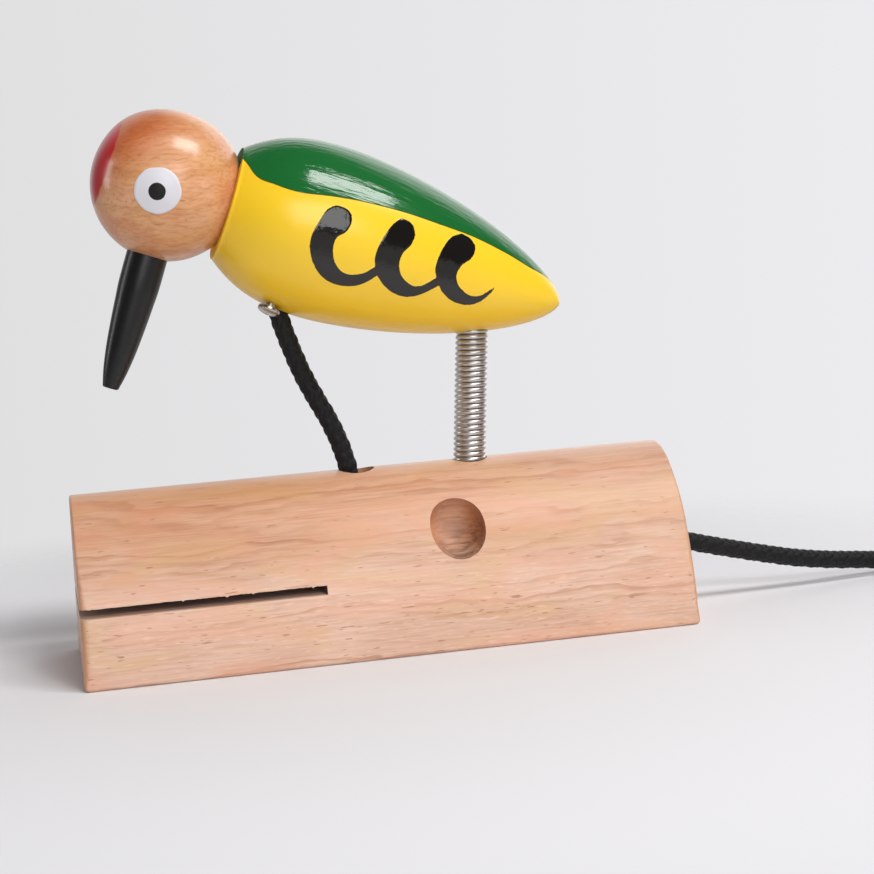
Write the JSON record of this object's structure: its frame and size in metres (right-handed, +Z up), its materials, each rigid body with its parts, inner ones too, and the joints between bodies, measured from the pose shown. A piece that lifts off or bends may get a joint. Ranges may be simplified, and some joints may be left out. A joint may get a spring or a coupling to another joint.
{
  "type": "woodpecker sounder toy",
  "caption": "Wooden noise toy: a painted turned woodpecker on a coil spring above an arched beech block, which a cord through the block pulls down so that the beak raps beside the saw slot.",
  "frame": {"origin": "middle of the block's flat underside, on the surface that the toy stands on", "axes": "+X along the block towards the end where the pull cord leaves (the bird looks towards -X), +Y away from the side with the thumb recess, +Z up"},
  "size_m": [0.2996, 0.0791, 0.1483],
  "materials": {
    "beech": "bare sanded beech",
    "lacquered_beech": "clear gloss lacquer with a red painted forehead",
    "painted_body": "gloss paint, yellow with a green back and black feather strokes",
    "black_paint": "satin black paint on turned wood",
    "eye_white": "satin white with a black pupil",
    "spring_steel": "bright nickelled spring wire",
    "screw_steel": "bright nickelled",
    "black_braid": "round braided polyester cord"
  },
  "bodies": {
    "sounder": {"log_block": "beech", "cord_bend": "black_braid"},
    "spring": {"spring": "spring_steel", "cord_front": "black_braid"},
    "bird": {"bird_body": "painted_body", "bird_head": "lacquered_beech", "neck_dowel": "beech", "beak": "black_paint", "eye_left": "eye_white", "eye_right": "eye_white", "cord_screw": "screw_steel"},
    "pull_cord": {"cord_channel": "black_braid", "cord_tail": "black_braid", "cord_coil": "black_braid", "cord_end": "black_braid", "cord_knot": "black_braid"}
  },
  "joints": [
    {"name": "sway", "type": "hinge", "parent": "sounder", "child": "spring", "pos_m": [0.0281, 0, 0.0475], "axis": [1, 0, 0], "range_deg": [-8, 8], "stiffness_Nm_per_rad": 0.6, "deforming": ["spring", "cord_front"]},
    {"name": "peck", "type": "hinge", "parent": "spring", "child": "bird", "pos_m": [0.02952, 0, 0.06441], "axis": [0, -1, 0], "range_deg": [-6, 15.8], "stiffness_Nm_per_rad": 0.6, "springref_deg": -3.27, "deforming": ["spring", "cord_front"]},
    {"name": "cord_slide", "type": "slide", "parent": "sounder", "child": "pull_cord", "axis": [1, 0, 0], "range_m": [-0.0045, 0.0115]}
  ],
  "couplings": [
    {"joint": "cord_slide", "follows": "peck", "m_per_rad": 0.0399}
  ]
}
